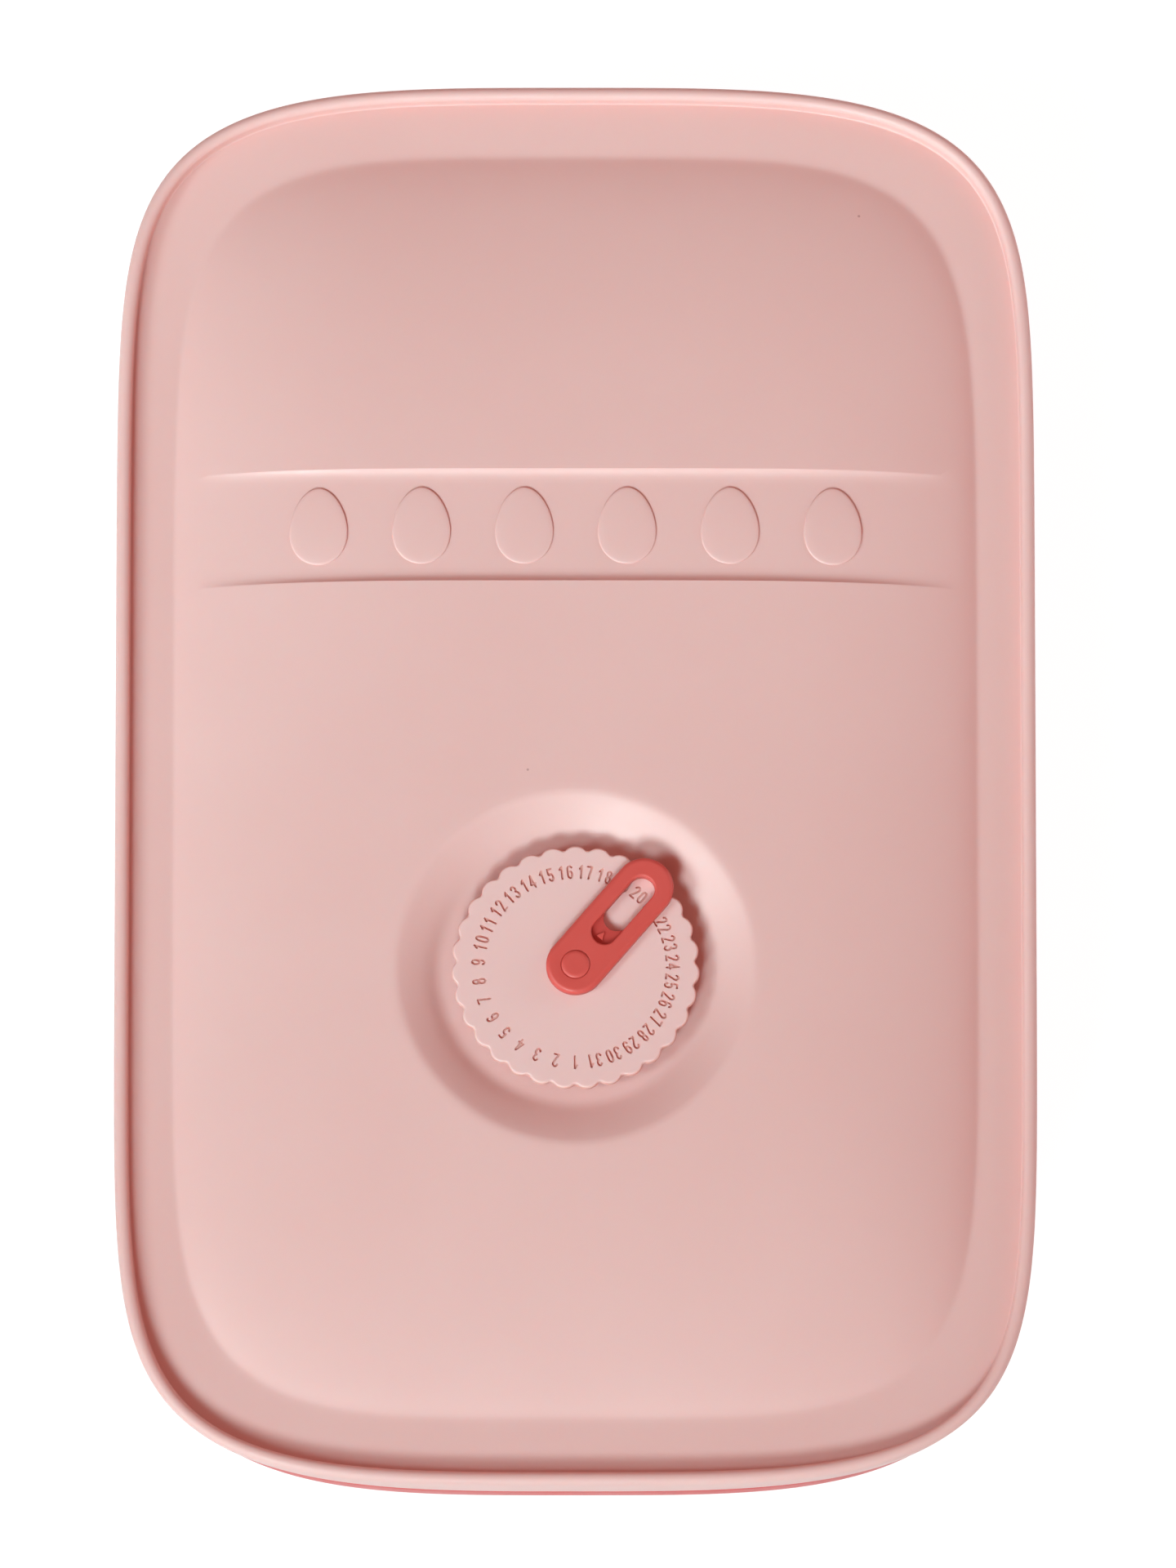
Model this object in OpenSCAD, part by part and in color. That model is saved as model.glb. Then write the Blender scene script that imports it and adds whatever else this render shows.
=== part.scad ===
// Lidded rolling egg box. The width runs along X, the length along Y with the front at -Y, and Z is up.
// The origin lies on the table, under the middle of the box.

/* [Lid] */
// Width of the lid over its rim
lid_w = 214.6; // [195:0.2:235]
// Length of the lid over its rim, front to back
lid_l = 334; // [300:0.2:360]
// Thickness of the lid's shell
lid_wall = 2.2; // [1.6:0.1:3]
// Squareness of the rim across the width
rim_nx = 3.65; // [3:0.05:5]
// Squareness of the rim along the length
rim_ny = 8.1; // [5:0.1:10]
// Width of the raised bead round the rim
bead_w = 3.2; // [2.4:0.1:4]
// Height of the bead above the flat flange
bead_h = 4; // [2.4:0.1:5]
// Depth of the skirt below the flange's upper face
skirt_h = 7.2; // [6:0.1:12]
// Thickness of the skirt
skirt_wall = 2; // [1.6:0.1:2.6]
// How far the skirt's lower edge lies inside the lid's edge
skirt_draft = 0.4; // [0.2:0.1:0.8]

/* [Panel] */
// Flange width between the lid's edge and the domed panel, at the sides
flange_side = 13.6; // [10:0.1:18]
// Flange width between the lid's edge and the domed panel, at the ends
flange_end = 16.4; // [12:0.1:22]
// Squareness of the panel across the width
panel_nx = 4.4; // [3:0.1:6]
// Squareness of the panel along the length
panel_ny = 7; // [5:0.1:10]
// Height of the panel's crown above the flange
dome_h = 12; // [9:0.5:15]

/* [Band] */
// Distance from the lid's middle to the band's front edge
band_y = 46; // [30:0.5:60]
// Width of the recessed band
band_w = 27; // [15:0.5:35]
// Depth of the band at its middle
band_depth = 1.3; // [0.6:0.1:1.6]
// Share of the panel at which the band runs out
band_reach = 0.96; // [0.8:0.01:0.98]

/* [Dial dish] */
// Distance from the lid's middle to the dial's axis, towards the front
dial_y = 46; // [35:0.5:60]
// Radius of the dish where it meets the panel
dish_r = 41.5; // [38:0.5:50]
// Radius of the dish's flat floor
dish_floor_r = 32; // [31:0.5:34]
// Depth of the dish's floor below the crown of the panel
dish_depth = 5.6; // [4:0.1:7]
// Radius of the round boss that carries the dial
boss_r = 6; // [4.5:0.5:9]
// Height of the boss above the dish's floor
boss_h = 2.4; // [1.5:0.1:3.5]

/* [Date dial] */
// Number of days, and of scallops
days = 31; // [28:1:31]
// Radius of the dial between its scallops
dial_r = 27.9; // [24:0.1:29]
// How far the scallops stand out
scallop_h = 1; // [0.6:0.1:1.4]
// Radius of one scallop
scallop_r = 3.1; // [2.9:0.1:3.6]
// Thickness of the dial
dial_t = 2; // [1.5:0.1:3]

/* [Pointer] */
// Width of the pointer
pointer_w = 13.7; // [11:0.1:16]
// Distance from the pivot to the middle of the pointer's round tip
pointer_l = 24.5; // [22:0.1:26]
// Thickness of the pointer
pointer_t = 2.8; // [2.2:0.1:4]
// Angle of the pointer, clockwise from the back
pointer_angle = 40.6; // [0:0.1:360]
// Width of the window
window_w = 6.1; // [4:0.1:8]
// Distance from the pivot to the middle of the window's outer end
window_far = 23.6; // [22:0.1:25]
// Distance from the pivot to the middle of the window's inner end
window_near = 14.7; // [13:0.1:18]
// Distance from the pivot to the middle of the ledge's inner end
ledge_near = 10.4; // [9.5:0.1:12]
// Depth of the ledge below the pointer's face
ledge_depth = 1.3; // [0.8:0.1:1.8]
// Length of the small arrow on the ledge
arrow_l = 2; // [1.2:0.1:2.6]
// Height of the small arrow
arrow_h = 0.4; // [0.2:0.1:0.6]
// Rounding of the pointer's upper edge
pointer_round = 0.8; // [0.3:0.1:1.2]

/* [Pivot pin] */
// Radius of the pin's round head
pin_head_r = 3.2; // [2.8:0.1:4]
// Height of the head above the pointer
pin_proud = 0.5; // [0.3:0.1:1]
// Depth to which the head is let into the pointer
pin_sunk = 0.8; // [0.5:0.1:1.4]
// Radius of the pin's shank
pin_r = 1.9; // [1.5:0.1:2.4]
// How far the barbs stand out from the shank
barb_out = 0.6; // [0.3:0.1:0.8]
// Length of the barbed end
barb_l = 2.4; // [1.5:0.1:4]
// Width of the slit between the two snap legs
slit_w = 1.1; // [0.6:0.1:1.6]

/* [Base] */
// Height of the base, from the table to its rim
base_h = 60; // [54:0.5:70]
// Thickness of the base's walls and floor
base_wall = 2.2; // [1.8:0.1:3]
// Slope of the walls
draft = 7.3; // [5:0.1:9]
// Height of the outer collar under the lid's skirt
collar_h = 5; // [3:0.5:9]
// How far the collar lies inside the lid's edge
collar_inset = 0.5; // [0.2:0.1:1.5]
// Hollow between the collar and the wall
collar_gap = 2.7; // [2:0.1:4]
// Height of the recess under the floor
foot_h = 1; // [0.6:0.1:2]
// Width of the ring that the base stands on
foot_w = 8; // [5:0.5:14]
// Size of the rounding between wall and floor
foot_round = 4; // [3:0.5:6]

/* [Roll tray] */
// Number of lanes
lanes = 3; // [2:1:4]
// Slope of the lanes down to the front
lane_slope = 2; // [1:0.1:3]
// Height of the lanes above the base's floor, at the front
lane_lift = 2; // [1:0.5:5]
// Depth of the hollow across a lane
lane_sag = 5; // [2:0.5:8]
// Height of the dividers above the edges of the lanes
divider_h = 14; // [8:1:20]
// Thickness of the tray's floor, dividers and ribs
tray_wall = 1.8; // [1.4:0.1:2.5]

/* [Fits] */
// Gap between the lid's skirt and the base
lid_gap = 0.6; // [0.4:0.1:1]
// Gap under the lid's skirt
skirt_gap = 0.4; // [0.3:0.1:0.8]
// Gap between the tray and the base
tray_gap = 0.5; // [0.3:0.1:1]
// Radial play of the dial and the pointer on the pin
turn_play = 0.05; // [0.03:0.01:0.08]
// Radial play of the pin in the lid
pin_play = 0.02; // [0.01:0.01:0.05]
// Play between the stacked flat faces
face_play = 0.1; // [0.05:0.01:0.2]
// Radial gap round the pin's head
head_play = 0.15; // [0.1:0.05:0.3]

/* [Hidden] */
$fn = 64;

pink = [0.90, 0.73, 0.71];
coral = [0.82, 0.33, 0.31];

// Fineness of the moulded outlines and of the dome
side_steps = 9;
end_steps = 9;
dome_steps = 9;
dish_sides = 48;
band_steps = 12;
lane_steps = 8;

// Small break on moulded edges, and how far a cut runs past the surface that it cuts
edge_break = 0.6;
overrun = 1;

// Heights that follow from the sizes above
flange_z = base_h + lid_wall;
skirt_z = flange_z - skirt_h;
crown_z = flange_z + dome_h;
dish_z = crown_z - dish_depth;
boss_z = dish_z + boss_h;
dial_z = boss_z + face_play;
pointer_z = dial_z + dial_t + face_play;
pointer_top = pointer_z + pointer_t;
head_z = pointer_top - pin_sunk + face_play;

// Insets from the lid's edge that the base takes from the lid
collar_top = skirt_z - skirt_gap;
collar_z = collar_top - collar_h;
lip_inset = skirt_wall + lid_gap;
wall_inset = collar_inset + base_wall + collar_gap;
shelf_z = collar_top - base_wall;
floor_z = foot_h + base_wall;

// Points of a rounded outline |x/a|^nx + |y/b|^ny = 1, anticlockwise from the middle of the right side
function quarter(a, b, nx, ny) =
    let (xc = a * pow(0.5, 1 / nx), yc = b * pow(0.5, 1 / ny))
    concat(
        [for (k = [0:side_steps - 1])
            let (y = yc * sin(90 * k / side_steps))
            [a * pow(1 - pow(y / b, ny), 1 / nx), y]],
        [for (k = [end_steps:-1:1])
            let (x = xc * sin(90 * k / end_steps))
            [x, b * pow(1 - pow(x / a, nx), 1 / ny)]]
    );

function outline(a, b, nx, ny) =
    let (q = quarter(a, b, nx, ny))
    let (back = concat([[0, b]], [for (k = [len(q) - 1:-1:1]) [-q[k].x, q[k].y]]))
    concat(q, back, -q, -back);

function ring(points, z) = [for (p = points) [p.x, p.y, z]];

// Outward direction of such an outline along one axis, before it is brought to length 1
function lean(x, a, n) = sign(x) * n * pow(abs(x) / a, n - 1) / a;

// A ring at an even inset from the lid's edge
function rim(inset, z) = [for (p = outline(lid_w / 2, lid_l / 2, rim_nx, rim_ny))
    let (out = [lean(p.x, lid_w / 2, rim_nx), lean(p.y, lid_l / 2, rim_ny)])
    let (q = p - inset * out / norm(out))
    [q.x, q.y, z]];

// The panel's outline, its half width and half length
panel_a = lid_w / 2 - flange_side;
panel_b = lid_l / 2 - flange_end;

function panel_ring(share, z) = ring(share * outline(panel_a, panel_b, panel_nx, panel_ny), z);

// Height of the crowned panel at a share of the way from the lid's middle to the panel's edge
function crown(share) = flange_z + dome_h * (1 - pow(share, 4));

// The share at which a point lies, found in a few steps
function share_at(x, y, s = 0.5, steps = 9) =
    steps == 0 ? s :
    let (f = pow(abs(x) / s / panel_a, panel_nx) + pow(abs(y) / s / panel_b, panel_ny))
    share_at(x, y, s * pow(f, 0.19), steps - 1);

function panel_z(x, y) = crown(share_at(x, y));

// Closed solid through rings of equally many points, with a fan over each end, or joined in a loop
module skin(rings, loop = false) {
    n = len(rings[0]);
    m = len(rings);
    middles = loop ? [] : [for (r = [rings[0], rings[m - 1]]) [for (p = r) 1 / n] * r];
    sides = [for (j = [0:loop ? m - 1 : m - 2], i = [0:n - 1])
        let (a = j * n + i, b = j * n + (i + 1) % n)
        let (c = (j + 1) % m * n + (i + 1) % n, d = (j + 1) % m * n + i)
        each [[a, d, c], [a, c, b]]];
    fans = loop ? [] : [for (i = [0:n - 1])
        let (k = (i + 1) % n)
        each [[m * n, i, k], [m * n + 1, (m - 1) * n + k, (m - 1) * n + i]]];
    polyhedron(concat([for (r = rings) each r], middles), concat(sides, fans));
}

function backwards(list) = [for (k = [len(list) - 1:-1:0]) list[k]];

// Share of each ring of the dome, closer together towards the edge
function dome_share(k) = 1 - pow(1 - k / dome_steps, 2);

// The lid's shell: underside, skirt, bead, flange and crowned panel in one skin
module lid_shell() {
    bead_r = bead_w / 2;
    bead_z = flange_z + bead_h - bead_r;
    shares = [for (k = [1:dome_steps]) dome_share(k)];
    under = [for (s = shares) panel_ring(s, crown(s) - lid_wall)];
    skirt = [
        rim(skirt_wall + edge_break, base_h), rim(skirt_wall, base_h - edge_break), rim(skirt_wall, skirt_z),
        rim(skirt_draft + edge_break / 2, skirt_z), rim(skirt_draft, skirt_z + edge_break)];
    bead = [for (t = [0:30:180]) rim(bead_r * (1 - cos(t)), bead_z + bead_r * sin(t))];
    flange = [rim(bead_w, flange_z + edge_break), rim(bead_w + edge_break, flange_z)];
    panel = [for (s = backwards(shares)) panel_ring(s, crown(s))];
    skin(concat(under, skirt, bead, flange, panel));
}

// Height of the dish's wall at a radius from the dial's axis: level floor, then an easy curve up to the panel
function dish_wall(r, angle, rise) =
    let (t = (r - dish_floor_r) / (dish_r - dish_floor_r))
    let (top = panel_z(r * cos(angle), r * sin(angle) - dial_y) + rise)
    dish_z + (top - dish_z) * t * t * (3 - 2 * t);

function dish_ring(r, rise = 0, down = 0) = [for (k = [0:dish_sides - 1])
    let (angle = 360 * k / dish_sides)
    [r * cos(angle), r * sin(angle) - dial_y, dish_wall(r, angle, rise) - down]];

function level_ring(r, z) = [for (k = [0:dish_sides - 1])
    let (angle = 360 * k / dish_sides)
    [r * cos(angle), r * sin(angle) - dial_y, z]];

// The hollow of the dish, which rises a little past the panel so that its edge is clean
module dish_hollow() {
    width = dish_r - dish_floor_r;
    wall = [for (t = [0:0.2:1]) dish_ring(dish_floor_r + width * t, overrun / 2)];
    skin(concat(wall, [level_ring(dish_r, crown_z + overrun)]));
}

// The cup that closes the shell under the dish
module dish_cup() {
    width = dish_r - dish_floor_r;
    cup_r = dish_floor_r + lid_wall / 2;
    cup_top = crown_z - lid_wall;
    wall = [for (t = [0:0.2:0.8])
        [for (p = dish_ring(cup_r + width * t, 0, lid_wall)) [p.x, p.y, min(p.z, cup_top)]]];
    skin(concat(wall, [level_ring(cup_r + width, cup_top + edge_break / 2)]));
}

// The shallow band across the panel, which runs out towards its ends
module band_hollow() {
    band_end = panel_a * (band_reach + 1) / 2;
    function floor_z_at(x, y) =
        let (s = share_at(x, y))
        crown(s) - band_depth * (1 - pow(s / band_reach, 4));
    skin([for (k = [-band_steps:band_steps])
        let (x = band_end * sin(90 * k / band_steps))
        [for (p = [[0, 1], [0, 0], [0.5, 0], [1, 0], [1, 1]])
            let (y = band_y + band_w * p.x)
            [x, y, p.y == 1 ? crown_z + overrun : floor_z_at(x, y)]]]);
}

module at_dial(z) {
    translate([0, -dial_y, z]) children();
}

module lid() {
    color(pink)
    difference() {
        union() {
            difference() {
                union() {
                    lid_shell();
                    dish_cup();
                }
                dish_hollow();
                band_hollow();
            }
            at_dial(dish_z - lid_wall / 2) cylinder(r = boss_r, h = boss_h + lid_wall / 2);
        }
        at_dial(dish_z - lid_wall - overrun)
        cylinder(r = pin_r + pin_play, h = lid_wall + boss_h + 2 * overrun);
    }
}

// Middle point of the rounding between wall and floor: how far out and how far up from its lower end
foot_out = foot_round * 0.6;
foot_up = foot_round * 0.25;

// Outer wall of the base at a height, as an inset from the lid's edge
function base_inset(z) = wall_inset + (shelf_z - z) * tan(draft);

module base() {
    low = foot_h + foot_round;
    thick = base_wall / cos(draft);
    foot_in = base_inset(low) + foot_round;
    outside = [
        rim(foot_in + foot_w + foot_h, foot_h), rim(foot_in + foot_w, 0), rim(foot_in, 0),
        rim(foot_in - foot_out, foot_up), rim(base_inset(low), low),
        rim(base_inset(shelf_z), shelf_z), rim(collar_inset + base_wall, shelf_z),
        rim(collar_inset + base_wall, collar_z), rim(collar_inset + edge_break, collar_z),
        rim(collar_inset, collar_z + edge_break), rim(collar_inset, collar_top), rim(lip_inset, collar_top),
        rim(lip_inset, base_h - edge_break), rim(lip_inset + edge_break, base_h)];
    inside = [
        rim(lip_inset + base_wall, base_h), rim(lip_inset + base_wall, collar_top),
        rim(base_inset(shelf_z) + thick, shelf_z),
        rim(base_inset(floor_z + foot_round) + thick, floor_z + foot_round),
        rim(foot_in - foot_out + thick, floor_z + foot_up), rim(foot_in + thick, floor_z)];
    color(coral) skin(concat(outside, inside));
}

// Space that the base leaves for the tray, at a height, as an inset from the lid's edge
function tray_inset(z) = base_inset(z) + base_wall / cos(draft) + tray_gap;

module tray_space() {
    low = floor_z + foot_round;
    foot_in = tray_inset(foot_h + foot_round) + foot_round;
    skin([rim(foot_in, floor_z), rim(foot_in - foot_out, floor_z + foot_up), rim(tray_inset(low), low),
        rim(tray_inset(shelf_z), shelf_z)]);
}

// Heights of the lanes' lowest line, and the distance from lane to lane
lane_front = lid_l / 2 - tray_inset(floor_z + foot_round);
lane_low = floor_z + lane_lift + tray_wall;
lane_back_z = lane_low + (lane_front + lid_l / 2) * tan(lane_slope);
lane_mid_z = lane_low + lane_front * tan(lane_slope);
lane_pitch = (lid_w - 2 * tray_inset(lane_mid_z + lane_sag) + tray_wall) / lanes;

// Draws a cross-section along the lanes, sloping down to the front
module along_lanes() {
    translate([0, lid_l / 2, lane_back_z])
    rotate([90 + lane_slope, 0, 0])
    linear_extrude(lid_l + lane_back_z) children();
}

// Hollowed floor of every lane in one line, from one side of the tray to the other
function lane_line(drop) = concat(
    [[-lid_w / 2, lane_sag - drop]],
    [for (k = [0:lanes - 1], j = [0:lane_steps])
        let (across = 2 * j / lane_steps - 1, middle = (k - (lanes - 1) / 2) * lane_pitch)
        [middle + across * (lane_pitch - tray_wall) / 2, lane_sag * across * across - drop]],
    [[lid_w / 2, lane_sag - drop]]
);

module lane_floor() {
    polygon(concat(backwards(lane_line(0)), lane_line(tray_wall)));
}

module below_lanes() {
    bottom = [[-lid_w / 2, -lane_back_z], [lid_w / 2, -lane_back_z]];
    polygon(concat(backwards(lane_line(tray_wall / 2)), bottom));
}

module lane_dividers() {
    for (k = [1:lanes - 1])
        translate([(k - lanes / 2) * lane_pitch - tray_wall / 2, -lane_back_z])
        square([tray_wall, lane_back_z + lane_sag + divider_h]);
}

module cross_ribs() {
    for (y = [-1, 0, 1])
        translate([-lid_w / 2, y * lane_front / 2 - tray_wall / 2, 0]) cube([lid_w, tray_wall, base_h]);
}

module roll_tray() {
    color(pink)
    intersection() {
        tray_space();
        union() {
            along_lanes() {
                lane_floor();
                lane_dividers();
            }
            intersection() {
                along_lanes() below_lanes();
                cross_ribs();
            }
        }
    }
}

module date_dial() {
    color(pink)
    at_dial(dial_z)
    difference() {
        linear_extrude(dial_t) {
            circle(dial_r);
            for (k = [0:days - 1])
                rotate(360 * k / days)
                translate([0, dial_r + scallop_h - scallop_r]) circle(scallop_r);
        }
        translate([0, 0, -overrun]) cylinder(r = pin_r + turn_play, h = dial_t + 2 * overrun);
    }
}

// Half of the pointer's cross-section, with its upper edge rounded
module pointer_edge() {
    square([pointer_w / 2 - pointer_round, pointer_t]);
    square([pointer_w / 2, pointer_t - pointer_round]);
    translate([pointer_w / 2 - pointer_round, pointer_t - pointer_round]) circle(pointer_round);
}

// A long hole or bar with round ends, from one distance to another along +Y
module slot(near, far, w) {
    translate([0, near]) circle(w / 2);
    translate([0, far]) circle(w / 2);
    translate([-w / 2, near]) square([w, far - near]);
}

module pointer_blank() {
    for (y = [0, pointer_l])
        translate([0, y, 0]) rotate_extrude() pointer_edge();
    translate([0, pointer_l, 0])
    rotate([90, 0, 0])
    linear_extrude(pointer_l) {
        pointer_edge();
        mirror([1, 0]) pointer_edge();
    }
}

module pointer() {
    ledge_z = pointer_t - ledge_depth;
    ledge_mid = (ledge_near + window_near - window_w) / 2;
    color(coral)
    at_dial(pointer_z)
    rotate(-pointer_angle) {
        difference() {
            pointer_blank();
            translate([0, 0, -overrun])
            linear_extrude(pointer_t + 2 * overrun) slot(window_near, window_far, window_w);
            translate([0, 0, ledge_z]) linear_extrude(pointer_t) slot(ledge_near, window_far, window_w);
            translate([0, 0, -overrun]) cylinder(r = pin_r + turn_play, h = pointer_t + 2 * overrun);
            translate([0, 0, pointer_t - pin_sunk]) cylinder(r = pin_head_r + head_play, h = pointer_t);
        }
        translate([0, ledge_mid, ledge_z - arrow_h])
        linear_extrude(2 * arrow_h)
        polygon([[-arrow_l / 2, -arrow_l / 2], [arrow_l / 2, -arrow_l / 2], [0, arrow_l / 2]]);
    }
}

module pivot_pin() {
    lid_under = dish_z - lid_wall - face_play;
    color(coral)
    difference() {
        union() {
            at_dial(head_z) cylinder(r = pin_head_r, h = pointer_top + pin_proud - head_z);
            at_dial(lid_under - barb_l) cylinder(r = pin_r, h = head_z - lid_under + barb_l);
            at_dial(lid_under - barb_l) cylinder(r1 = pin_r, r2 = pin_r + barb_out, h = barb_l);
        }
        at_dial(lid_under - barb_l - overrun)
        translate([-slit_w / 2, -pin_head_r, 0])
        cube([slit_w, 2 * pin_head_r, barb_l + overrun + lid_wall]);
    }
}

base();
roll_tray();
lid();
date_dial();
pointer();
pivot_pin();
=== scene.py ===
import math

import bmesh
import bpy
import numpy as np
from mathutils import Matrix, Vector
from mathutils.geometry import delaunay_2d_cdt


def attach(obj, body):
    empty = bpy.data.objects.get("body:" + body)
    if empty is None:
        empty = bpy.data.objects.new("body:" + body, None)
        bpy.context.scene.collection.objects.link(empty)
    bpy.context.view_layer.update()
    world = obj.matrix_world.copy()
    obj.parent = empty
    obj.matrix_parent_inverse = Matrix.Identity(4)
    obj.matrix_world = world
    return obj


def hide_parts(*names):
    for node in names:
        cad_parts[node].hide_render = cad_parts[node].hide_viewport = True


# A lidded rolling egg box, seen from above: a domed pink lid with a date dial and a coral pointer, on a
# coral tub with a tray of lanes. Shapes are worked out in millimetres, in the part's frame, and made in
# metres.

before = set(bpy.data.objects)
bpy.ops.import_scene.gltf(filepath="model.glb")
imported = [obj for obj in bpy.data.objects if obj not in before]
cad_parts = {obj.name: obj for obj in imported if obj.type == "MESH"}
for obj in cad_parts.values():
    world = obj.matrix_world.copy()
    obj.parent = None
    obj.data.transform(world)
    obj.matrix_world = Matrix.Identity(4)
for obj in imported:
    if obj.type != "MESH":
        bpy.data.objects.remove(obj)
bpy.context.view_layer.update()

# Sizes of the part in millimetres, and the powers of its outlines and curves

MM = 0.001

LID_W, LID_L, LID_WALL = 214.6, 334.0, 2.2
RIM_NX, RIM_NY, SKIRT_NX = 3.65, 8.1, 3.3
BEAD_W, BEAD_H = 3.2, 4.0
SKIRT_H, SKIRT_WALL, SKIRT_DRAFT = 7.2, 2.0, 0.4
PANEL_A, PANEL_B = LID_W / 2 - 13.6, LID_L / 2 - 16.4
PANEL_NX, PANEL_NY = 4.4, 7.0
DOME_H, DOME_POWER = 12.0, 4
EDGE_ROLL, ROLL_POWER = 0.9, 22
PANEL_BLEND = 0.28
MIDDLE_SHARE = 0.95

BAND_Y, BAND_W, BAND_DEPTH, BAND_REACH = 46.0, 27.0, 1.3, 0.96
BAND_WALL, BAND_WALL_POWER, BAND_FADE_POWER = 3.6, 3.2, 4

DIAL_Y = 46.0
DISH_R, DISH_FLOOR_R, DISH_DEPTH = 41.5, 32.0, 5.6
CONE_LOW_R, CONE_HIGH_R = DISH_FLOOR_R - 1.4, DISH_R + 1.1
BOSS_R, BOSS_H, BOSS_FOOT, BOSS_EDGE = 6.0, 2.4, 0.6, 0.3

DAYS = 31
DIAL_R, SCALLOP_H, SCALLOP_R, DIAL_T = 27.9, 1.0, 3.1, 2.0
NUMBER_R, NUMBER_H, NUMBER_W, NUMBER_GAP = 22.6, 3.35, 1.5, 0.5
STROKE, ENGRAVING = 0.5, 0.4

POINTER_W, POINTER_L, POINTER_T = 13.7, 24.5, 2.8
POINTER_ANGLE = 40.6
WINDOW_W, WINDOW_FAR, WINDOW_NEAR = 6.1, 23.6, 14.7
LEDGE_NEAR, LEDGE_DEPTH = 10.4, 1.3
ARROW_L, ARROW_H = 2.0, 0.5

PIN_HEAD_R, PIN_PROUD, PIN_SUNK, PIN_R = 3.2, 0.5, 0.8, 1.9
BARB_OUT, BARB_L, SLIT_W = 0.6, 2.4, 1.1
LEG_POINTS = 41

BASE_H, BASE_WALL, DRAFT = 60.0, 2.2, math.radians(7.3)
COLLAR_H, COLLAR_INSET, COLLAR_GAP = 5.0, 0.5, 2.7
COLLAR_NX, COLLAR_NY = 3.6, 6.6
FOOT_H, FOOT_W, FOOT_ROUND = 1.0, 8.0, 4.0

LANES = 3
LANE_SLOPE, LANE_LIFT, LANE_SAG = math.radians(2), 2.0, 5.0
DIVIDER_H, TRAY_WALL = 14.0, 1.8

LID_GAP, SKIRT_GAP, TRAY_GAP = 0.6, 0.4, 0.5
TURN_PLAY, PIN_PLAY, FACE_PLAY, HEAD_PLAY = 0.05, 0.02, 0.1, 0.15

FLANGE_Z = BASE_H + LID_WALL
SKIRT_Z = FLANGE_Z - SKIRT_H
CROWN_Z = FLANGE_Z + DOME_H
DISH_Z = CROWN_Z - DISH_DEPTH
BOSS_Z = DISH_Z + BOSS_H
DIAL_Z = BOSS_Z + FACE_PLAY
POINTER_Z = DIAL_Z + DIAL_T + FACE_PLAY
POINTER_TOP = POINTER_Z + POINTER_T
HEAD_Z = POINTER_TOP - PIN_SUNK + FACE_PLAY

COLLAR_TOP = SKIRT_Z - SKIRT_GAP
COLLAR_Z = COLLAR_TOP - COLLAR_H
LIP_INSET = SKIRT_WALL + LID_GAP
WALL_INSET = COLLAR_INSET + BASE_WALL + COLLAR_GAP
SHELF_Z = COLLAR_TOP - BASE_WALL
FLOOR_Z = FOOT_H + BASE_WALL

RIM_POINTS = 480

# Outlines


def even_outline(a, b, nx, ny, count):
    """Points of |x/a|^nx + |y/b|^ny = 1 at even distances, and the outward directions there.

    They run anticlockwise from the right."""
    angle = np.linspace(0, 2 * math.pi, 16001)
    c, s = np.cos(angle), np.sin(angle)
    r = np.ones_like(angle)
    for _ in range(60):
        r = r / (np.abs(r * c) ** nx + np.abs(r * s) ** ny) ** 0.15
    x, y = a * r * c, b * r * s
    run = np.concatenate([[0], np.cumsum(np.hypot(np.diff(x), np.diff(y)))])
    at = np.linspace(0, run[-1], count + 1)[:-1]
    x, y = np.interp(at, run, x), np.interp(at, run, y)
    gx = np.sign(x) * nx * np.abs(x / a) ** (nx - 1) / a
    gy = np.sign(y) * ny * np.abs(y / b) ** (ny - 1) / b
    length = np.hypot(gx, gy)
    return np.stack([x, y], 1), np.stack([gx / length, gy / length], 1)


EDGE, EDGE_OUT = even_outline(LID_W / 2, LID_L / 2, RIM_NX, RIM_NY, RIM_POINTS)
LOW_EDGE, LOW_OUT = even_outline(LID_W / 2, LID_L / 2, SKIRT_NX, RIM_NY, RIM_POINTS)
COLLAR, COLLAR_OUT = even_outline(
    LID_W / 2 - COLLAR_INSET, LID_L / 2 - COLLAR_INSET, COLLAR_NX, COLLAR_NY, RIM_POINTS)
PANEL, _ = even_outline(PANEL_A, PANEL_B, PANEL_NX, PANEL_NY, RIM_POINTS)


def ring(points, z):
    """Plan points with a height, or with one height each."""
    return np.column_stack([points, np.broadcast_to(z, len(points))])


def rim(inset, z):
    """A ring at an even inset from the lid's edge, with rounder corners towards the skirt's lower end."""
    start = FLANGE_Z + BEAD_H / 2
    low = min(max((start - z) / (start - SKIRT_Z), 0), 1)
    return ring((EDGE - inset * EDGE_OUT) * (1 - low) + (LOW_EDGE - inset * LOW_OUT) * low, z)


def low_rim(inset, z):
    """A ring at an even inset from the skirt's lower edge, for all that fits inside the skirt."""
    return ring(LOW_EDGE - inset * LOW_OUT, z)


def collar_rim(inset, z):
    """A ring at an even inset from the tub's collar."""
    return ring(COLLAR - inset * COLLAR_OUT, z)


def circle(r, z, count=96, y=-DIAL_Y):
    """A ring round the pivot, or round another place on the middle line."""
    angle = 2 * math.pi * np.arange(count) / count
    return ring(np.stack([r * np.cos(angle), y + r * np.sin(angle)], 1), z)


def rounding(inset, z, r, start, stop, steps=6):
    """Insets and heights along an arc about a point, where angle 0 faces outwards and 90 up."""
    angles = np.radians(np.linspace(start, stop, steps + 1))
    return [(inset - r * math.cos(t), z + r * math.sin(t)) for t in angles]


# The lid's upper surface as a height over the plan


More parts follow.
